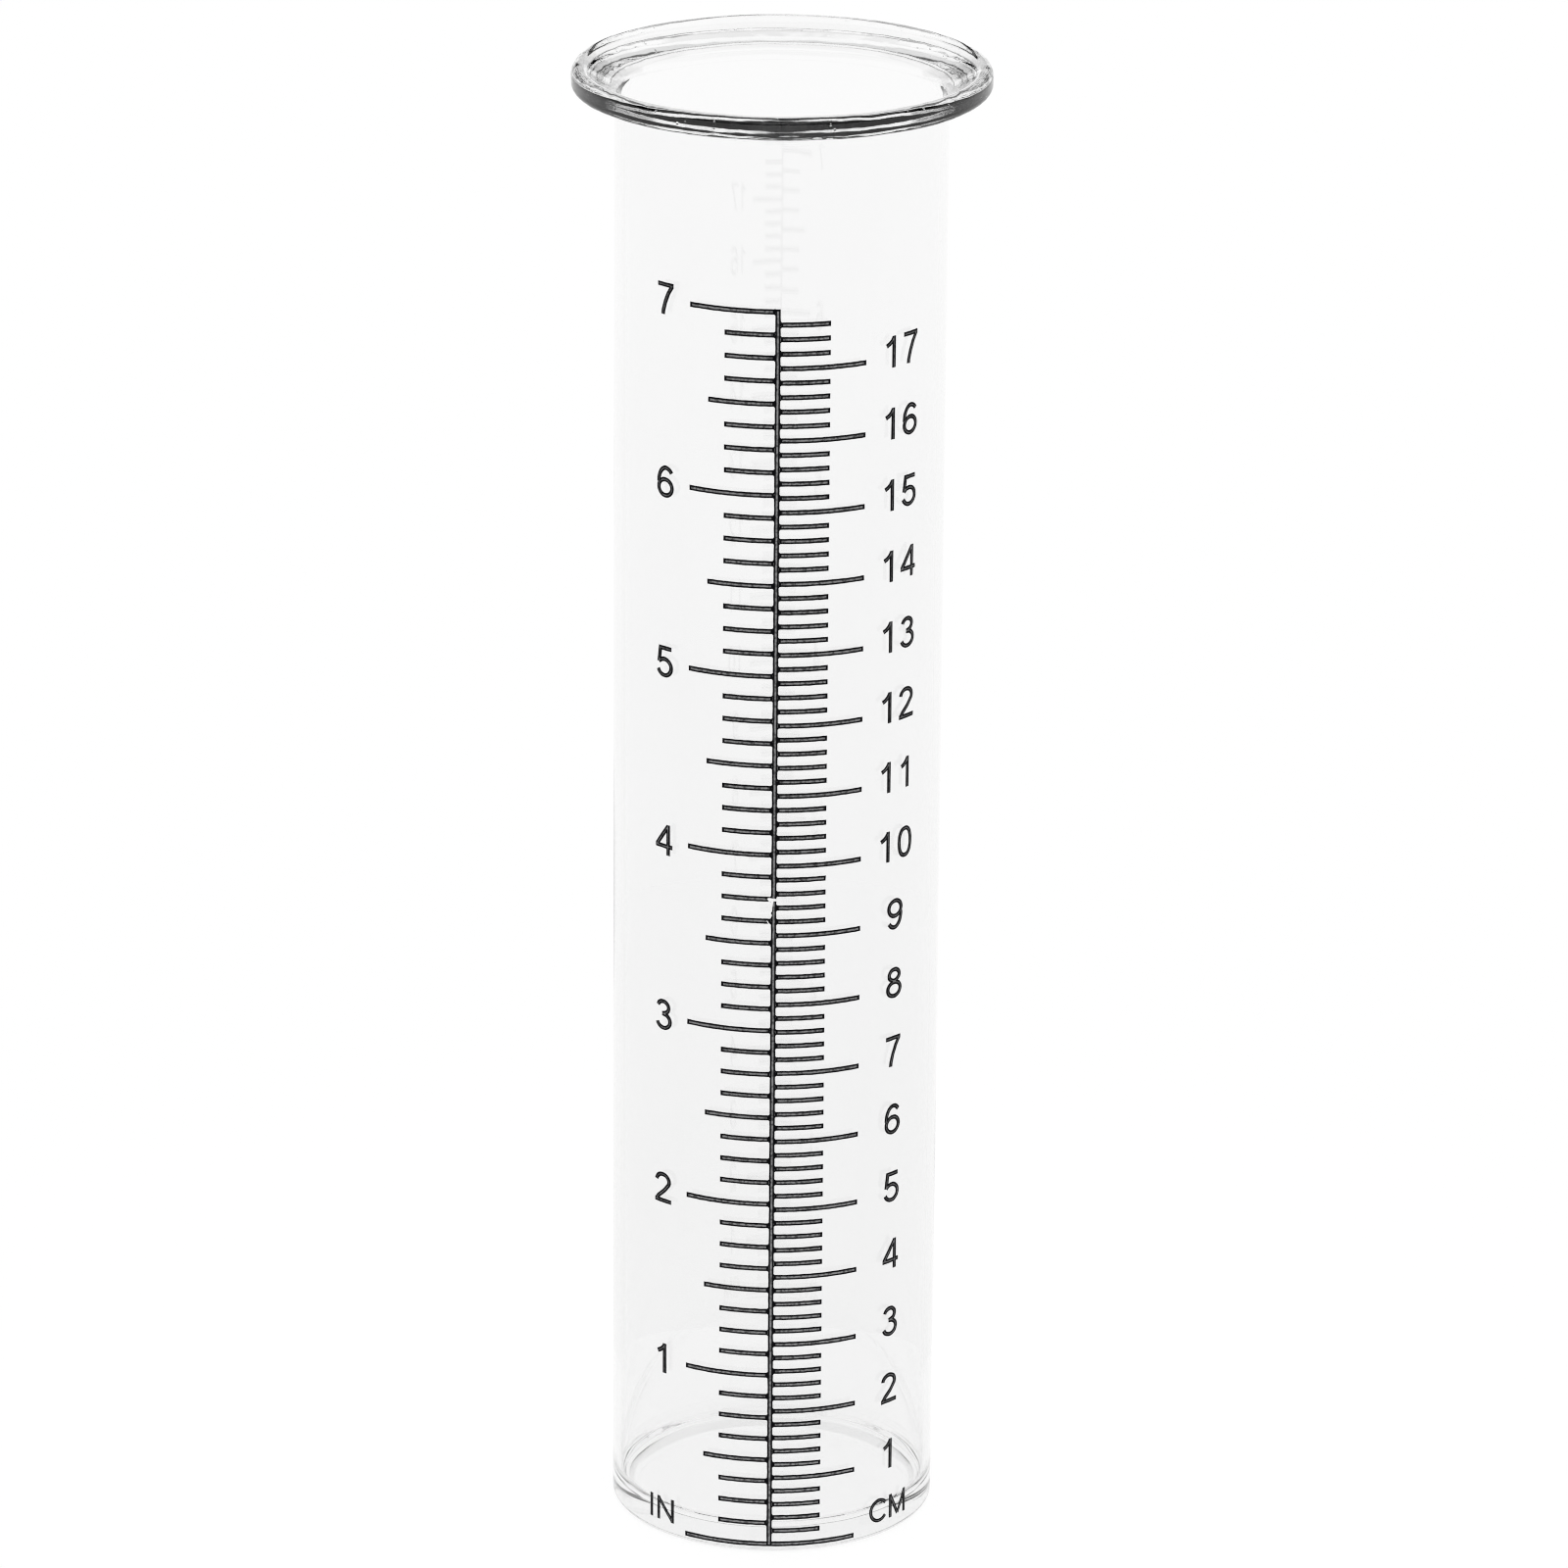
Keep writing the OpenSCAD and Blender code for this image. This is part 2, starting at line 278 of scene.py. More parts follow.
def enamel_material():
    """Black enamel with a painted grey sheen in the middle of each stroke, and a fine mottle."""
    mat = bpy.data.materials.new("black_enamel")
    n = Nodes(mat)
    place = n.add("ShaderNodeTexCoord").outputs["Object"]
    worn = n.add("ShaderNodeAttribute", attribute_name="worn").outputs["Fac"]
    mottle = n.noise(place, MOTTLE_SCALE, 4.0)
    patchy = n.noise(place, PATCH_SCALE, 2.0)
    core = n.mapped(worn, *SHEEN_SPAN, 0, 1)
    sheen_share = n.math("MULTIPLY", core, n.mapped(mottle, *MOTTLE_SPAN, *MOTTLE_SHEEN))
    sheen_share = n.math("MULTIPLY", sheen_share, n.mapped(patchy, *NOISE_SPAN, *PATCH_SHEEN))
    n.finish({
        # Painted sheen: the grey in the middle of each stroke stands for light off the raised print.
        "Base Color": n.add("ShaderNodeMix", {"Factor": sheen_share, "A": ENAMEL_BLACK, "B": ENAMEL_SHEEN_GREY},
                            data_type="RGBA").outputs["Result"],
        "Roughness": n.mapped(patchy, *NOISE_SPAN, *PATCH_ROUGHNESS),
        "Specular IOR Level": n.mapped(core, 0, 1, *CORE_SHINE),
        "Normal": n.bump(mottle, MOTTLE_DEPTH, strength=MOTTLE_STRENGTH),
    })
    return mat


glass = glass_material()
enamel = enamel_material()

# ---- The glass -------------------------------------------------------------------------------

# How many flat sides stand in for the round wall.
SEGMENTS = 384


def glass_section():
    """The tube's half section as a loop from the foot's middle, up the outside and down the bore."""
    slope = math.radians(FUNNEL_ANGLE)
    lean = (-math.sin(slope), math.cos(slope))
    foot = (WALL_R - FOOT_ROUND, FOOT_ROUND)
    neck = (WALL_R + NECK_ROUND, RIM_Z - NECK_ROUND)
    rim = (RIM_R - RIM_ROUND, RIM_Z + RIM_ROUND)
    lip = (RIM_R - LIP_ROUND, HEIGHT - LIP_ROUND)
    drop = (lean[0] * (lip[0] - BORE_R - MOUTH_ROUND) + LIP_ROUND - MOUTH_ROUND) / lean[1]
    mouth = (BORE_R + MOUTH_ROUND, lip[1] + drop)
    well = (BORE_R - WELL_ROUND, FLOOR_Z + WELL_ROUND)
    funnel = [(p[0] + r * lean[0], p[1] + r * lean[1]) for p, r in ((lip, LIP_ROUND), (mouth, MOUTH_ROUND))]
    section = line((0, 0), (foot[0], 0), 8)
    section += arc(foot, FOOT_ROUND, -90, 0, 8)
    section += line((WALL_R, FOOT_ROUND), (WALL_R, neck[1]), 12)
    section += arc(neck, NECK_ROUND, 180, 90, 16)
    section += line((neck[0], RIM_Z), (rim[0], RIM_Z), 4)
    section += arc(rim, RIM_ROUND, -90, 0, 16)
    section += line((RIM_R, rim[1]), (RIM_R, lip[1]), 4)
    section += arc(lip, LIP_ROUND, 0, 90 + FUNNEL_ANGLE, 24)
    section += line(funnel[0], funnel[1], 8)
    section += arc(mouth, MOUTH_ROUND, 90 + FUNNEL_ANGLE, 180, 32)
    section += line((BORE_R, mouth[1]), (BORE_R, well[1]), 56)
    section += arc(well, WELL_ROUND, 0, -90, 12)
    section += line((well[0], FLOOR_Z), (0, FLOOR_Z), 12)
    return section


# Hand-worked glass is never quite true. Each swell of its surface is a size, a pitch and a seed.
RIM_SWELL_OUT = (0.07, 9.0, 3)
RIM_SWELL_UP = (0.07, 9.0, 5)
RIM_RIPPLE = (0.03, 1.6, 11)
BORE_SWELL = (0.05, 24.0, 17)
BORE_STRETCH = 2
WELL_SWELL = (0.06, 7.0, 23)
NICK_AT = (11.6, 25.3)
NICK_DEPTH = 0.16
NICK_WIDTH = 0.45
HAIR = 0.01


def swell(x, y, z, size, pitch, seed):
    """A smooth random shift of a point, up to about the size either way."""
    return size * noise.noise(Vector((x, y, z)) / pitch + Vector((seed, seed, seed)))


def uneven(r, z, x, y):
    """How far the glass surface at a point stands out from true, outwards and upwards."""
    rim = min(1.0, max(0.0, (z - RIM_Z + NECK_ROUND) / NECK_ROUND))
    inside = r < BORE_R + HAIR or (z > RIM_Z - MOUTH_ROUND and r < WALL_R - HAIR)
    out = swell(x, y, z, *RIM_SWELL_OUT) * rim
    up = swell(x, y, z, *RIM_SWELL_UP) * rim
    up += swell(x, y, z, *RIM_RIPPLE) * rim
    if inside and z > FLOOR_Z + HAIR:
        out += swell(x, y, z / BORE_STRETCH, *BORE_SWELL) * (1 - rim)
    if r < BORE_R and FLOOR_Z / 2 < z < FLOOR_Z + WELL_ROUND:
        up += swell(x, y, 0, *WELL_SWELL)
    nick = math.hypot(x - NICK_AT[0], y - NICK_AT[1]) / NICK_WIDTH
    up -= NICK_DEPTH * math.exp(-nick * nick) * (z > HEIGHT - LIP_ROUND)
    return out, up


def lathe(section, low_pole, high_pole, segments):
    """Turns a section whose two ends close on the axis. Gives points and faces."""
    points = [(0, 0, low_pole)]
    for r, z in section:
        for i in range(segments):
            turn = math.tau * i / segments
            x, y = r * math.cos(turn), r * math.sin(turn)
            out, up = uneven(r, z, x, y)
            points.append(((r + out) * math.cos(turn), (r + out) * math.sin(turn), z + up))
    points.append((0, 0, high_pole + swell(0, 0, 0, *WELL_SWELL)))
    last = len(points) - 1

    def at(row, i):
        return 1 + row * segments + i % segments

    faces = []
    for i in range(segments):
        faces.append((0, at(0, i + 1), at(0, i)))
        for row in range(len(section) - 1):
            faces.append((at(row, i), at(row, i + 1), at(row + 1, i + 1), at(row + 1, i)))
        faces.append((at(len(section) - 1, i), at(len(section) - 1, i + 1), last))
    return points, faces


glass_points, glass_faces = lathe(glass_section(), 0, FLOOR_Z, SEGMENTS)
tube = new_piece("glass_tube_body", glass_points, glass_faces, glass)
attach(tube, "root")
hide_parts("glass_tube")

# ---- Strokes ---------------------------------------------------------------------------------
# A print is a list of convex patches in the flattened wall: (distance round from the middle of
# the scale, height). Distances are positive to the right of someone reading the scale.

# How square an oval is: 2 is a true oval, and more gives straighter sides.
TRUE_OVAL = 2.0
ZERO_OVAL = 2.35
DIGIT_H = 4.4
DIGIT_W = 0.55
DIGIT_PITCH = 3.7
LETTER_H = 3.5
LETTER_W = 0.46
LETTER_LIFT = 0.9
CM_DIGIT_LIFT = 0.75
INCH_DIGIT_S = -16.4
CM_DIGIT_S = 18.4
LETTER_S = {"I": -18.5, "N": -15.8, "C": 16.7, "M": 20.45}


def stroke_arc(centre, radii, start, end, steps=20):
    """Points along part of an oval, angles in degrees."""
    turns = [math.radians(start + (end - start) * i / steps) for i in range(steps + 1)]
    return [(centre[0] + radii[0] * math.cos(t), centre[1] + radii[1] * math.sin(t)) for t in turns]


def bulge(value, power):
    """A sine or cosine bent so that its oval has straighter sides."""
    return math.copysign(abs(value) ** (2 / power), value)


def stroke_ring(centre, radii, power=TRUE_OVAL, steps=48):
    """A closed oval."""
    ring = []
    for i in range(steps + 1):
        turn = math.tau * (i % steps) / steps
        ring.append((centre[0] + radii[0] * bulge(math.cos(turn), power),
                     centre[1] + radii[1] * bulge(math.sin(turn), power)))
    return ring


def digit_strokes():
    """Paths down the middle of each digit's strokes, in digit heights from the middle of its foot."""
    low = DIGIT_W / DIGIT_H / 2
    high = 1 - low
    six = [
        stroke_arc((0.03, 0.5), (0.302, high - 0.5), 42, 186),
        stroke_ring((0, 0.315), (0.272, 0.315 - low)),
    ]
    return [
        [stroke_ring((0, 0.5), (0.33 - low, 0.5 - low), ZERO_OVAL)],
        [[(0.08, 0), (0.08, 1)], [(-0.21, 0.705), (-0.09, 0.765), (0.01, 0.85), (0.07, 0.94)]],
        [stroke_arc((-0.02, 0.71), (0.265, high - 0.71), 175, -25)
         + [(0.04, 0.4), (-0.2, 0.19), (-0.29, low)],
         [(-0.35, low), (0.33, low)]],
        [stroke_arc((-0.02, 0.745), (0.225, high - 0.745), 168, -70) + [(-0.06, 0.535)],
         [(-0.06, 0.535)] + stroke_arc((-0.01, 0.295), (0.272, 0.295 - low), 72, -165)],
        [[(0.165, 0), (0.165, 1)], [(0.152, 0.95), (-0.31, 0.305)], [(-0.36, 0.29), (0.33, 0.29)]],
        [[(0.27, high), (-0.185, high), (-0.245, 0.475)],
         [(-0.245, 0.475)] + stroke_arc((-0.015, 0.325), (0.277, 0.325 - low), 140, -162)],
        six,
        [[(-0.33, high), (0.31, high)],
         [(0.262, 0.93), (0.1, 0.68), (-0.02, 0.4), (-0.1, 0.13), (-0.115, 0)]],
        [stroke_ring((0, 0.755), (0.225, high - 0.755)), stroke_ring((0, 0.29), (0.275, 0.29 - low))],
        [[(-x, 1 - y) for x, y in path] for path in six],
    ]


def letter_strokes():
    """The same for the four unit letters, in letter heights."""
    low = LETTER_W / LETTER_H / 2
    high = 1 - low
    return {
        "I": [[(0, 0), (0, 1)]],
        "N": [[(-0.367, 0), (-0.367, 1)], [(-0.367, high), (0.367, low)], [(0.367, 0), (0.367, 1)]],
        "C": [stroke_arc((0, 0.5), (0.43, 0.5 - low), 38, 322)],
        "M": [[(-0.43, 0), (-0.43, 1)], [(-0.43, high), (0, low)],
              [(0, low), (0.43, high)], [(0.43, 0), (0.43, 1)]],
    }


DIGITS = digit_strokes()
LETTERS = letter_strokes()


def stroke_patches(path, width):
    """One four-sided patch for each step of a path, meeting along the bisector of each bend."""
    spots = [Vector(q) for q in path]
    steps = [(b - a).normalized() for a, b in zip(spots, spots[1:])]
    closed = path[0] == path[-1]
    arriving = [steps[-1] if closed else steps[0]] + steps
    leaving = steps + [steps[0] if closed else steps[-1]]
    left, right = [], []
    for spot, before, after in zip(spots, arriving, leaving):
        across = (before + after).orthogonal().normalized()
        across *= width / 2 / across.dot(before.orthogonal())
        left.append(spot + across)
        right.append(spot - across)
    return [(left[i], left[i + 1], right[i + 1], right[i]) for i in range(len(steps))]


def glyph_patches(paths, height, width, s, z):
    """A glyph with the middle of its foot at (s, z)."""
    patches = []
    for path in paths:
        for patch in stroke_patches(path, width / height):
            patches.append([(s + q[0] * height, z + q[1] * height) for q in patch])
    return patches


def bar(s0, s1, z, width):
    """A level line from s0 to s1."""
    half = width / 2
    return [(s0, z - half), (s1, z - half), (s1, z + half), (s0, z + half)]


# ---- The printed enamel ----------------------------------------------------------------------
# The enamel is black along its edges, with a grey painted sheen in the middle of each stroke. The middles
# are patches too, and a point attribute is 1 inside them and 0 at the edges.

# How far the enamel reaches into the glass, and how far it runs out past the true line.
BITE = 0.01
BLEED = 0.035
# Each black edge's share of a stroke's width, and its height as a share of the middle's.
EDGE_SHARE = 0.455
EDGE_LIFT = 0.6
# The wavering of the edges, and the web in a corner where two lines meet.
WOBBLE = 0.035
WOBBLE_PITCH = 0.7
WOBBLE_SEED = 7
FILLET = 0.16
# How strong the painted sheen on the numerals and letters is, next to the lines.
GLYPH_SHEEN = 0.78
# The width of the strips that a print is cut into, and the widest print that is cut level.
STRIP = 0.3
UPRIGHT_W = 3.0
# How close two points must be to count as one, or as on an edge, and as clearly inside it.
SNAP = 0.00001
SLACK = 0.0005
INSET = 0.00001

# Where the print has flaked off, as patches in the flattened wall, heights above the zero line.
FLAKES = [
    [(-0.92, 95.3), (-0.6, 94.88), (-0.1, 94.95), (-0.28, 95.4), (-0.72, 95.45)],
    [(-0.4, 95.4), (-0.38, 94.98), (0.1, 94.92), (0.4, 94.96), (0.36, 95.3)],
    [(-0.4, 95.0), (-0.4, 93.75), (-0.2, 93.95), (-0.12, 94.5), (-0.02, 95.0)],
    [(-0.4, 93.8), (-0.4, 93.3), (-0.24, 93.45), (-0.16, 93.95)],
    [(-0.4, 93.1), (-0.4, 92.6), (-0.26, 92.8), (-0.28, 93.05)],
    [(-1.0, 92.2), (-0.72, 91.68), (-0.55, 91.6), (-0.75, 92.05)],
]


def covered(points, patch, slack):
    """Which points lie inside a convex patch, or within the slack of it."""
    corners = np.array(patch)
    ahead = np.roll(corners, -1, axis=0) - corners
    ahead /= np.maximum(np.hypot(ahead[:, 0], ahead[:, 1]), SLACK)[:, None]
    offset = points[:, None, :] - corners[None, :, :]
    side = ahead[None, :, 0] * offset[:, :, 1] - ahead[None, :, 1] * offset[:, :, 0]
    return (side >= -slack).all(1) | (side <= slack).all(1)


def any_covered(points, patches, slack=SLACK):
    """Which points lie inside any of the patches."""
    inside = np.zeros(len(points), bool)
    for patch in patches:
        inside |= covered(points, patch, slack)
    return inside


def near(patches, others):
    """Those of the others whose box touches the patches' box."""
    flat = np.array([q for patch in patches for q in patch])
    low, high = flat.min(0), flat.max(0)
    kept = []
    for patch in others:
        box = np.array(patch)
        if (box.max(0) >= low).all() and (box.min(0) <= high).all():
            kept.append(patch)
    return kept


def merged(patches, middles):
    """The patches' union as triangles, less the flakes, and which points lie in the middles that carry the
    painted sheen.

    Also cut along upright lines, or level ones for the narrow spine, so that it can bend round
    the wall and waver.
    """
    flakes = near(patches, [[(s, ZERO_Z + z) for s, z in flake] for flake in FLAKES])
    middles = near(patches, middles)
    points, edges = [], []
    for patch in patches + flakes + middles:
        first = len(points)
        count = len(patch)
        points += [Vector(q) for q in patch]
        edges += [(first + i, first + (i + 1) % count) for i in range(count)]
    flat = np.array([q for patch in patches for q in patch])
    low, high = flat.min(0) - 1, flat.max(0) + 1
    way = 0 if high[0] - low[0] > UPRIGHT_W else 1
    for k in range(math.floor(low[way] / STRIP), math.ceil(high[way] / STRIP) + 1):
        edges.append((len(points), len(points) + 1))
        ends = [[low[0], low[1]], [high[0], high[1]]]
        for end in ends:
            end[way] = k * STRIP
        points += [Vector(end) for end in ends]
    out, _, triangles, _, _, _ = delaunay_2d_cdt(points, edges, [], 0, SNAP)
    flat = np.array([tuple(p) for p in out])
    centres = flat[np.array(triangles)].mean(1)
    keep = any_covered(centres, patches, -INSET) & ~any_covered(centres, flakes, -INSET)
    return flat, [t for t, kept in zip(triangles, keep) if kept], any_covered(flat, middles)


def wavered(s, z):
    """Moves a point of the print slightly, as an uneven edge."""
    at = Vector((s, z, 0)) / WOBBLE_PITCH
    aside = at + Vector((0, 0, WOBBLE_SEED))
    return s + WOBBLE * noise.noise(aside), z + WOBBLE * noise.noise(at)


def on_wall(s, z, lift):
    """The point a distance s round the wall and lift above it."""
    turn = -math.pi / 2 + s / WALL_R
    return ((WALL_R + lift) * math.cos(turn), (WALL_R + lift) * math.sin(turn), z)


def print_piece(name, node, patches, middles, sheen_share=1.0):
    """Raises the patches into a layer of enamel that bites slightly into the glass."""
    flat, triangles, worn = merged(patches, middles)
    used = sorted({i for t in triangles for i in t})
    place = {old: new for new, old in enumerate(used)}
    count = len(used)
    lifts = [INK_T * (1 if worn[i] else EDGE_LIFT) for i in used]
    spots = [wavered(*flat[i]) for i in used]
    points = [on_wall(*spot, lift) for spot, lift in zip(spots, lifts)]
    points += [on_wall(*spot, -BITE) for spot in spots]
    faces, sides = [], {}
    for t in triangles:
        a, b, c = (place[i] for i in t)
        faces.append((a, b, c))
        faces.append((c + count, b + count, a + count))
        for side in ((a, b), (b, c), (c, a)):
            sides[side] = True
    for a, b in sides:
        if (b, a) not in sides:
            faces.append((b, a, a + count, b + count))
    piece = new_piece(name, points, faces, enamel, smooth=False)
    # This point attribute marks the middles, where a grey painted sheen stands for light off the raised
    # print.
    layer = piece.data.attributes.new("worn", "FLOAT", "POINT")
    layer.data.foreach_set("value", [sheen_share * worn[i] for i in used] * 2)
    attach(piece, "root")
    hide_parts(node)


def line_reach(node):
    """How far a node's lines reach round the wall from the scale's middle."""
    low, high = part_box(node)
    far = max(abs(low.x), abs(high.x)) / MM
    return WALL_R * math.asin(far / (WALL_R + INK_T))


WHOLE = line_reach("inch_lines")
HALF = line_reach("half_inch_lines")
EIGHTH = line_reach("eighth_inch_lines")
CM_WHOLE = line_reach("centimetre_lines")
FIFTH = line_reach("two_millimetre_lines")
INK_W = LINE_W + 2 * BLEED
edge = INK_W / 2
rind = INK_W * EDGE_SHARE


def fillets(s, z):
    """The small webs in the corners where a line leaves the spine towards s."""
    way = math.copysign(1, s)
    webs = []
    for up in (-1, 1):
        root = (way * edge, z + up * (edge - BITE))
        webs.append([root, (way * (edge + FILLET), root[1]), (way * edge, root[1] + up * FILLET)])
    return webs


def ticks(count, pitch, reach, skip=None):
    """Lines from the spine to s = reach, and their middles. Every skip-th one is left out."""
    patches, middles = [], []
    way = math.copysign(1, reach)
    for i in range(1, count + 1):
        if skip and i % skip == 0:
            continue
        z = ZERO_Z + i * pitch
        patches += [bar(*sorted((way * edge, reach)), z, INK_W)] + fillets(reach, z)
        middles.append(bar(*sorted((way * INK_W, reach - way * rind)), z, INK_W - 2 * rind))
    return patches, middles


marks = {
    "inch_line": ticks(INCHES, INCH, -WHOLE),
    "half_inch_line": ticks(INCHES * 2, INCH / 2, -HALF, 2),
    "eighth_inch_line": ticks(INCHES * 8 - 1, INCH / 8, -EIGHTH, 4),
    "centimetre_line": ticks(CENTIMETRES, CM, CM_WHOLE),
    "two_millimetre_line": ticks(int((TOP_Z - ZERO_Z) * 5 / CM), CM / 5, FIFTH, 5),
}
marks["zero_line"] = ([bar(-WHOLE, -edge, ZERO_Z, INK_W), bar(edge, CM_WHOLE, ZERO_Z, INK_W)],
                      [bar(-WHOLE + rind, CM_WHOLE - rind, ZERO_Z, INK_W - 2 * rind)])

core = edge - rind
spine = [[(-edge, ZERO_Z - edge), (edge, ZERO_Z - edge), (edge, TOP_Z + edge), (-edge, TOP_Z + edge)]]
spine_middle = [[(-core, ZERO_Z - core), (core, ZERO_Z - core), (core, TOP_Z + core), (-core, TOP_Z + core)]]
print_piece("spine_print", "scale_spine", spine, spine_middle)
for name, (patches, middles) in marks.items():
    print_piece(name + "_print", name if name == "zero_line" else name + "s", patches, middles)


def glyph(paths, height, width, s, z):
    """A glyph's patches and their middles, the middle of its foot at (s, z)."""
    width += 2 * BLEED
    return (glyph_patches(paths, height, width, s, z),
            glyph_patches(paths, height, width * (1 - 2 * EDGE_SHARE), s, z))


def number(value, s, z):
    """The glyphs of a number with its middle at (s, z)."""
    digits = str(value)
    for i, digit in enumerate(digits):
        place = s + (i - (len(digits) - 1) / 2) * DIGIT_PITCH
        yield glyph(DIGITS[int(digit)], DIGIT_H, DIGIT_W, place, z - DIGIT_H / 2)


def letters(names):
    """The glyphs of a pair of unit letters."""
    return [glyph(LETTERS[name], LETTER_H, LETTER_W, LETTER_S[name], ZERO_Z + LETTER_LIFT)
            for name in names]


def print_glyphs(name, node, glyphs):
    """Prints several glyphs as one piece."""
    patches, middles = [], []
    for outline, middle in glyphs:
        patches += outline
        middles += middle
    print_piece(name, node, patches, middles, GLYPH_SHEEN)


print_glyphs("inch_numeral_print", "inch_numerals",
             [g for i in range(1, INCHES + 1) for g in number(i, INCH_DIGIT_S, ZERO_Z + i * INCH)])
print_glyphs("centimetre_numeral_print", "centimetre_numerals",
             [g for i in range(1, CENTIMETRES + 1)
              for g in number(i, CM_DIGIT_S, ZERO_Z + i * CM + CM_DIGIT_LIFT)])
print_glyphs("inch_letter_print", "inch_unit_letters", letters("IN"))
print_glyphs("centimetre_letter_print", "centimetre_unit_letters", letters("CM"))

# ---- Floor, light and camera -----------------------------------------------------------------

# The floor glows evenly, and a share of it is a sheet that takes the light of the room.
FLOOR_GLOW = 1.07
FLOOR_SHEET = 0.15
FLOOR_HALF = 8000.0
FLOOR_DROP = 0.1
GRAIN_SCALE = 900.0
GRAIN_GREY = (0.93, 0.95)
GRAIN_DEPTH = 0.05
GRAIN_STRENGTH = 0.3
CLOUD_SCALE = 6.0
CLOUD_GREY = (0.99, 1.0)


def floor_material():
    """A pale, evenly lit sheet with the faint grain of paper."""
    mat = bpy.data.materials.new("pale_floor")
    n = Nodes(mat)
    place = n.add("ShaderNodeTexCoord").outputs["Object"]
    grain = n.noise(place, GRAIN_SCALE, 3.0)
    cloud = n.noise(place, CLOUD_SCALE, 2.0)
    grey = n.math("MULTIPLY", n.mapped(grain, *NOISE_SPAN, *GRAIN_GREY),
                  n.mapped(cloud, *NOISE_SPAN, *CLOUD_GREY))
    relief = n.bump(grain, GRAIN_DEPTH, strength=GRAIN_STRENGTH)
    sheet = n.add("ShaderNodeBsdfDiffuse", {"Color": grey, "Normal": relief})
    glow = n.add("ShaderNodeEmission", {"Strength": FLOOR_GLOW})
    both = n.add("ShaderNodeMixShader", {0: FLOOR_SHEET, 1: glow.outputs[0], 2: sheet.outputs[0]})
    n.add("ShaderNodeOutputMaterial", {"Surface": both.outputs[0]})
    return mat


def add_floor():
    """A square sheet just under the foot."""
    corners = [(x * FLOOR_HALF, y * FLOOR_HALF, -FLOOR_DROP)
               for x, y in ((-1, -1), (1, -1), (1, 1), (-1, 1))]
    new_piece("floor", corners, [(0, 1, 2, 3)], floor_material(), smooth=False)


CARD_GLOW = 1.0
CARD_R = 60.0
CARD_H = 70.0
CARD_STEPS = 96


def add_low_card():
    """A white card standing round the foot, which only shows in the glass."""
    mat = bpy.data.materials.new("white_card")
    n = Nodes(mat)
    glow = n.add("ShaderNodeEmission", {"Strength": CARD_GLOW})
    n.add("ShaderNodeOutputMaterial", {"Surface": glow.outputs[0]})
    turns = [math.tau * i / CARD_STEPS for i in range(CARD_STEPS)]
    ring = [(CARD_R * math.cos(t), CARD_R * math.sin(t)) for t in turns]
    corners = [(x, y, z) for z in (-FLOOR_DROP, CARD_H) for x, y in ring]
    faces = [(i, (i + 1) % CARD_STEPS, CARD_STEPS + (i + 1) % CARD_STEPS, CARD_STEPS + i)
             for i in range(CARD_STEPS)]
    card = new_piece("low_card", corners, faces, mat)
    card.visible_camera = False


# The room is six rings of light, one above the other. A ring starts at a height above the
# horizon, and a place round it is counted from the front, both in degrees. The dark parts give
# the rim its dark bands.
RING_STARTS = [8, 20, 35, 50, 65]
SOFT = 2.0
WHITE = 1.0
BLACK = 0.0
CEILING = 0.6
BACK_FROM = 120
SLOPE_SPAN = (15, 135)
SLOPE_LIGHT = (0.03, 0.75)
PANEL_SPAN = (90, 120)
UPPER_FROM = 90
UPPER_LIGHT = (0.45, 0.85)


def step(n, angle, limit, below, above):
    """A brightness that changes softly at a limit."""
    rise = n.mapped(angle, limit - SOFT, limit + SOFT, 0, 1)
    return n.add("ShaderNodeMix", {"Factor": rise, "A": below, "B": above}).outputs[0]


def room_rings(n, around):
    """The brightness of each ring, from the horizon up."""
    panel_start, panel_end = PANEL_SPAN
    panel = step(n, around, panel_end, BLACK, WHITE)
    return [
        WHITE,
        step(n, around, BACK_FROM, WHITE, BLACK),
        n.mapped(around, *SLOPE_SPAN, *SLOPE_LIGHT),
        step(n, around, panel_start, WHITE, panel),
        step(n, around, UPPER_FROM, *UPPER_LIGHT),
        CEILING,
    ]


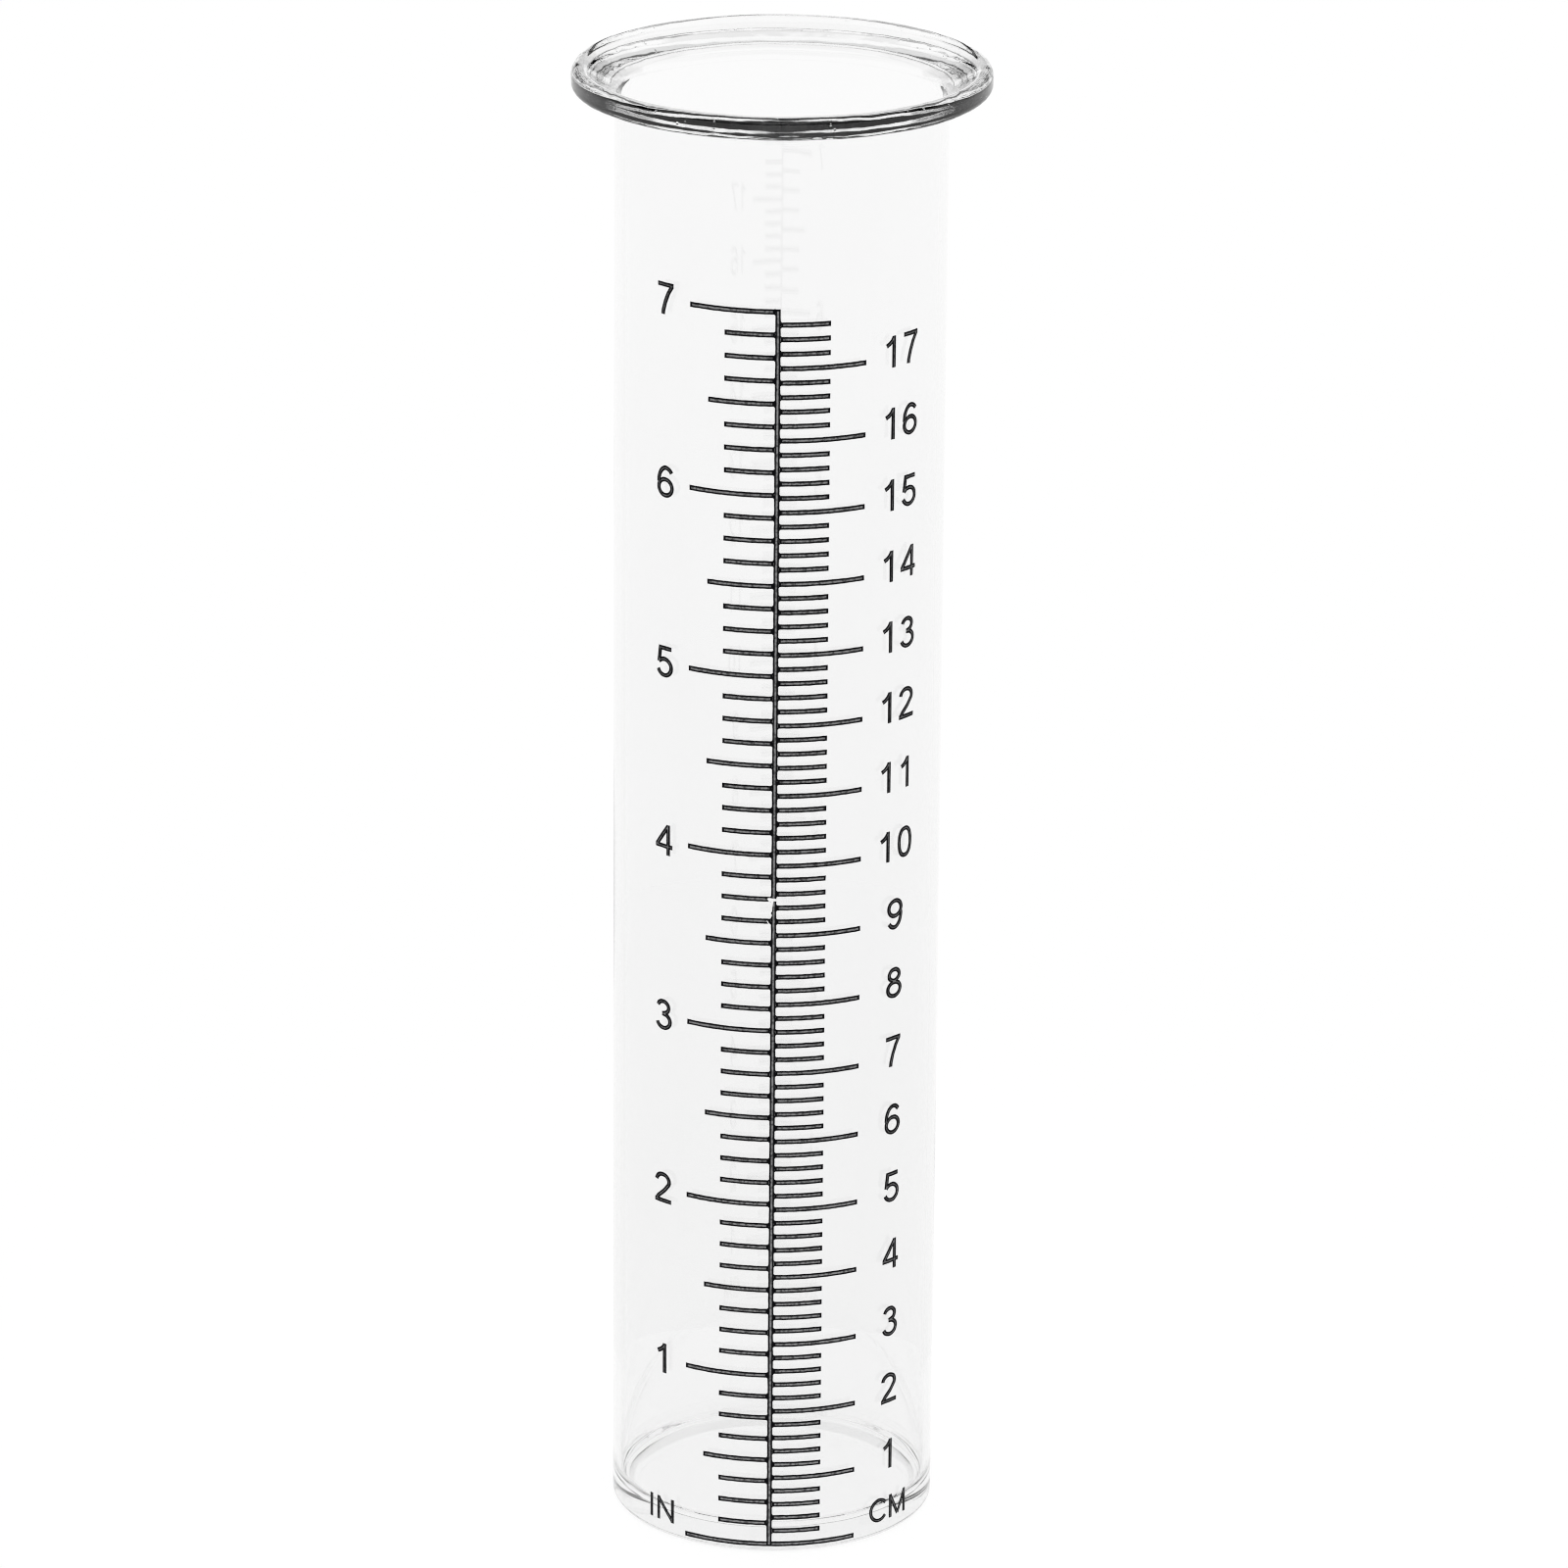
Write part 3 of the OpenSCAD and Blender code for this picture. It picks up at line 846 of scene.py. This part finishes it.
def add_room():
    """The light of the room. The camera itself sees it as plain white."""
    world = bpy.data.worlds.new("studio")
    bpy.context.scene.world = world
    n = Nodes(world)
    way = n.add("ShaderNodeSeparateXYZ", {0: n.add("ShaderNodeTexCoord").outputs["Generated"]}).outputs
    lift = n.math("DEGREES", n.math("ARCSINE", way["Z"]))
    front = n.math("MULTIPLY", way["Y"], -1.0)
    around = n.math("ABSOLUTE", n.math("DEGREES", n.math("ARCTAN2", way["X"], front)))
    level, *higher = room_rings(n, around)
    for start, ring in zip(RING_STARTS, higher):
        level = step(n, lift, start, level, ring)
    seen = n.add("ShaderNodeLightPath").outputs["Is Camera Ray"]
    level = n.add("ShaderNodeMix", {"Factor": seen, "A": level, "B": WHITE}).outputs[0]
    background = n.add("ShaderNodeBackground", {"Color": (1, 1, 1, 1), "Strength": level})
    n.add("ShaderNodeOutputWorld", {"Surface": background.outputs[0]})


CAMERA_DISTANCE = 1196.0
CAMERA_RISE = math.radians(19.37)
CAMERA_TURN = math.radians(0.71)
CAMERA_ROLL = math.radians(0.45)
AIM = Vector((0.98, 0, 105.3))
SENSOR_W = 36.0
LENS = 200.1
# Nothing nearer or farther than this, in metres, is in the picture.
CLIP = (0.05, 50)


def add_camera():
    """The camera, above the front of the tube and turned slightly to its right."""
    camera = bpy.data.objects.new("camera", bpy.data.cameras.new("camera"))
    bpy.context.scene.collection.objects.link(camera)
    camera.data.sensor_width = SENSOR_W
    camera.data.lens = LENS
    camera.data.clip_start, camera.data.clip_end = CLIP
    back = Vector((math.sin(CAMERA_TURN) * math.cos(CAMERA_RISE),
                   -math.cos(CAMERA_TURN) * math.cos(CAMERA_RISE),
                   math.sin(CAMERA_RISE)))
    look = back.to_track_quat("Z", "Y").to_matrix().to_4x4()
    stand = Matrix.Translation((AIM + back * CAMERA_DISTANCE) * MM)
    camera.matrix_world = stand @ look @ Matrix.Rotation(CAMERA_ROLL, 4, "Z")
    bpy.context.scene.camera = camera


# Light must cross the wall, the rim and the bottom many times before it is lost.
BOUNCES = 64
GLOSSY_BOUNCES = 32
PIXEL_FILTER = 1.1


def set_light_paths():
    """Plain colours, a fine pixel filter and enough bounces for clear glass."""
    scene = bpy.context.scene
    scene.view_settings.view_transform = "Standard"
    scene.cycles.max_bounces = BOUNCES
    scene.cycles.transmission_bounces = BOUNCES
    scene.cycles.glossy_bounces = GLOSSY_BOUNCES
    scene.cycles.filter_width = PIXEL_FILTER


add_floor()
add_low_card()
add_room()
add_camera()
set_light_paths()
